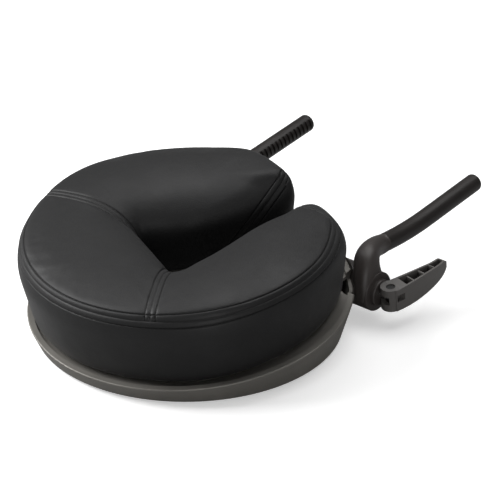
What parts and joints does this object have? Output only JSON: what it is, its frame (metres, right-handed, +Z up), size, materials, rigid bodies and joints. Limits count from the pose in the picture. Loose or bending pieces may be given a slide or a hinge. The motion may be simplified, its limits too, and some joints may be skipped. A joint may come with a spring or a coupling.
{
  "type": "face cradle cushion",
  "caption": "Crescent face cushion on a round tilting tray with two plug-in posts and a cam clamp lever.",
  "frame": {"origin": "centre of the bounding box's base, in the plane the four feet stand on", "axes": "+X towards the clamp lever, +Y along the posts towards the massage table, +Z up"},
  "size_m": [0.3568, 0.5218, 0.1434],
  "materials": {
    "black_polymer": "satin",
    "bronze_polymer": "satin",
    "post_coat": "satin",
    "plated_steel": "satin",
    "dark_steel": "satin",
    "foam": "matte",
    "black_vinyl": "satin",
    "base_cloth": "matte",
    "hook_tape": "matte",
    "loop_tape": "matte",
    "foot_rubber": "matte"
  },
  "bodies": {
    "arms": {"arm_near": "black_polymer", "arm_far": "black_polymer", "post_near": "post_coat", "post_far": "post_coat", "cross_tube": "plated_steel", "cam_washer": "black_polymer"},
    "clamp": {"clamp_rod": "plated_steel", "cam_pin": "plated_steel", "end_nut": "plated_steel"},
    "lever": {"cam_lever": "black_polymer"},
    "platform": {"tray": "bronze_polymer", "base_plate": "bronze_polymer", "base_screws": "dark_steel", "hub_near": "black_polymer", "hub_far": "black_polymer", "feet": "foot_rubber", "hook_strips": "hook_tape"},
    "cushion": {"cushion_core": "foam", "cover_base": "base_cloth", "cover_boxing": "black_vinyl", "cover_forehead": "black_vinyl", "cover_cheek_near": "black_vinyl", "cover_cheek_far": "black_vinyl", "loop_strips": "loop_tape"}
  },
  "joints": [
    {"name": "platform_tilt", "type": "hinge", "parent": "arms", "child": "platform", "pos_m": [-0.00244, 0.05168, 0.03518], "axis": [1, 0, 0], "range_deg": [-10, 45]},
    {"name": "cushion_lift", "type": "slide", "parent": "platform", "child": "cushion", "axis": [0, -0.108, 0.9942], "range_m": [0, 0.06]},
    {"name": "clamp_slide", "type": "slide", "parent": "arms", "child": "clamp", "axis": [-1, 0, 0], "range_m": [0, 0.0015]},
    {"name": "lever_flip", "type": "hinge", "parent": "clamp", "child": "lever", "pos_m": [0.16146, 0.05168, 0.03518], "axis": [0, 0.108, -0.9942], "range_deg": [0, 90]}
  ],
  "couplings": [
    {"joint": "clamp_slide", "follows": "lever_flip", "m_per_rad": 0.0009549}
  ]
}
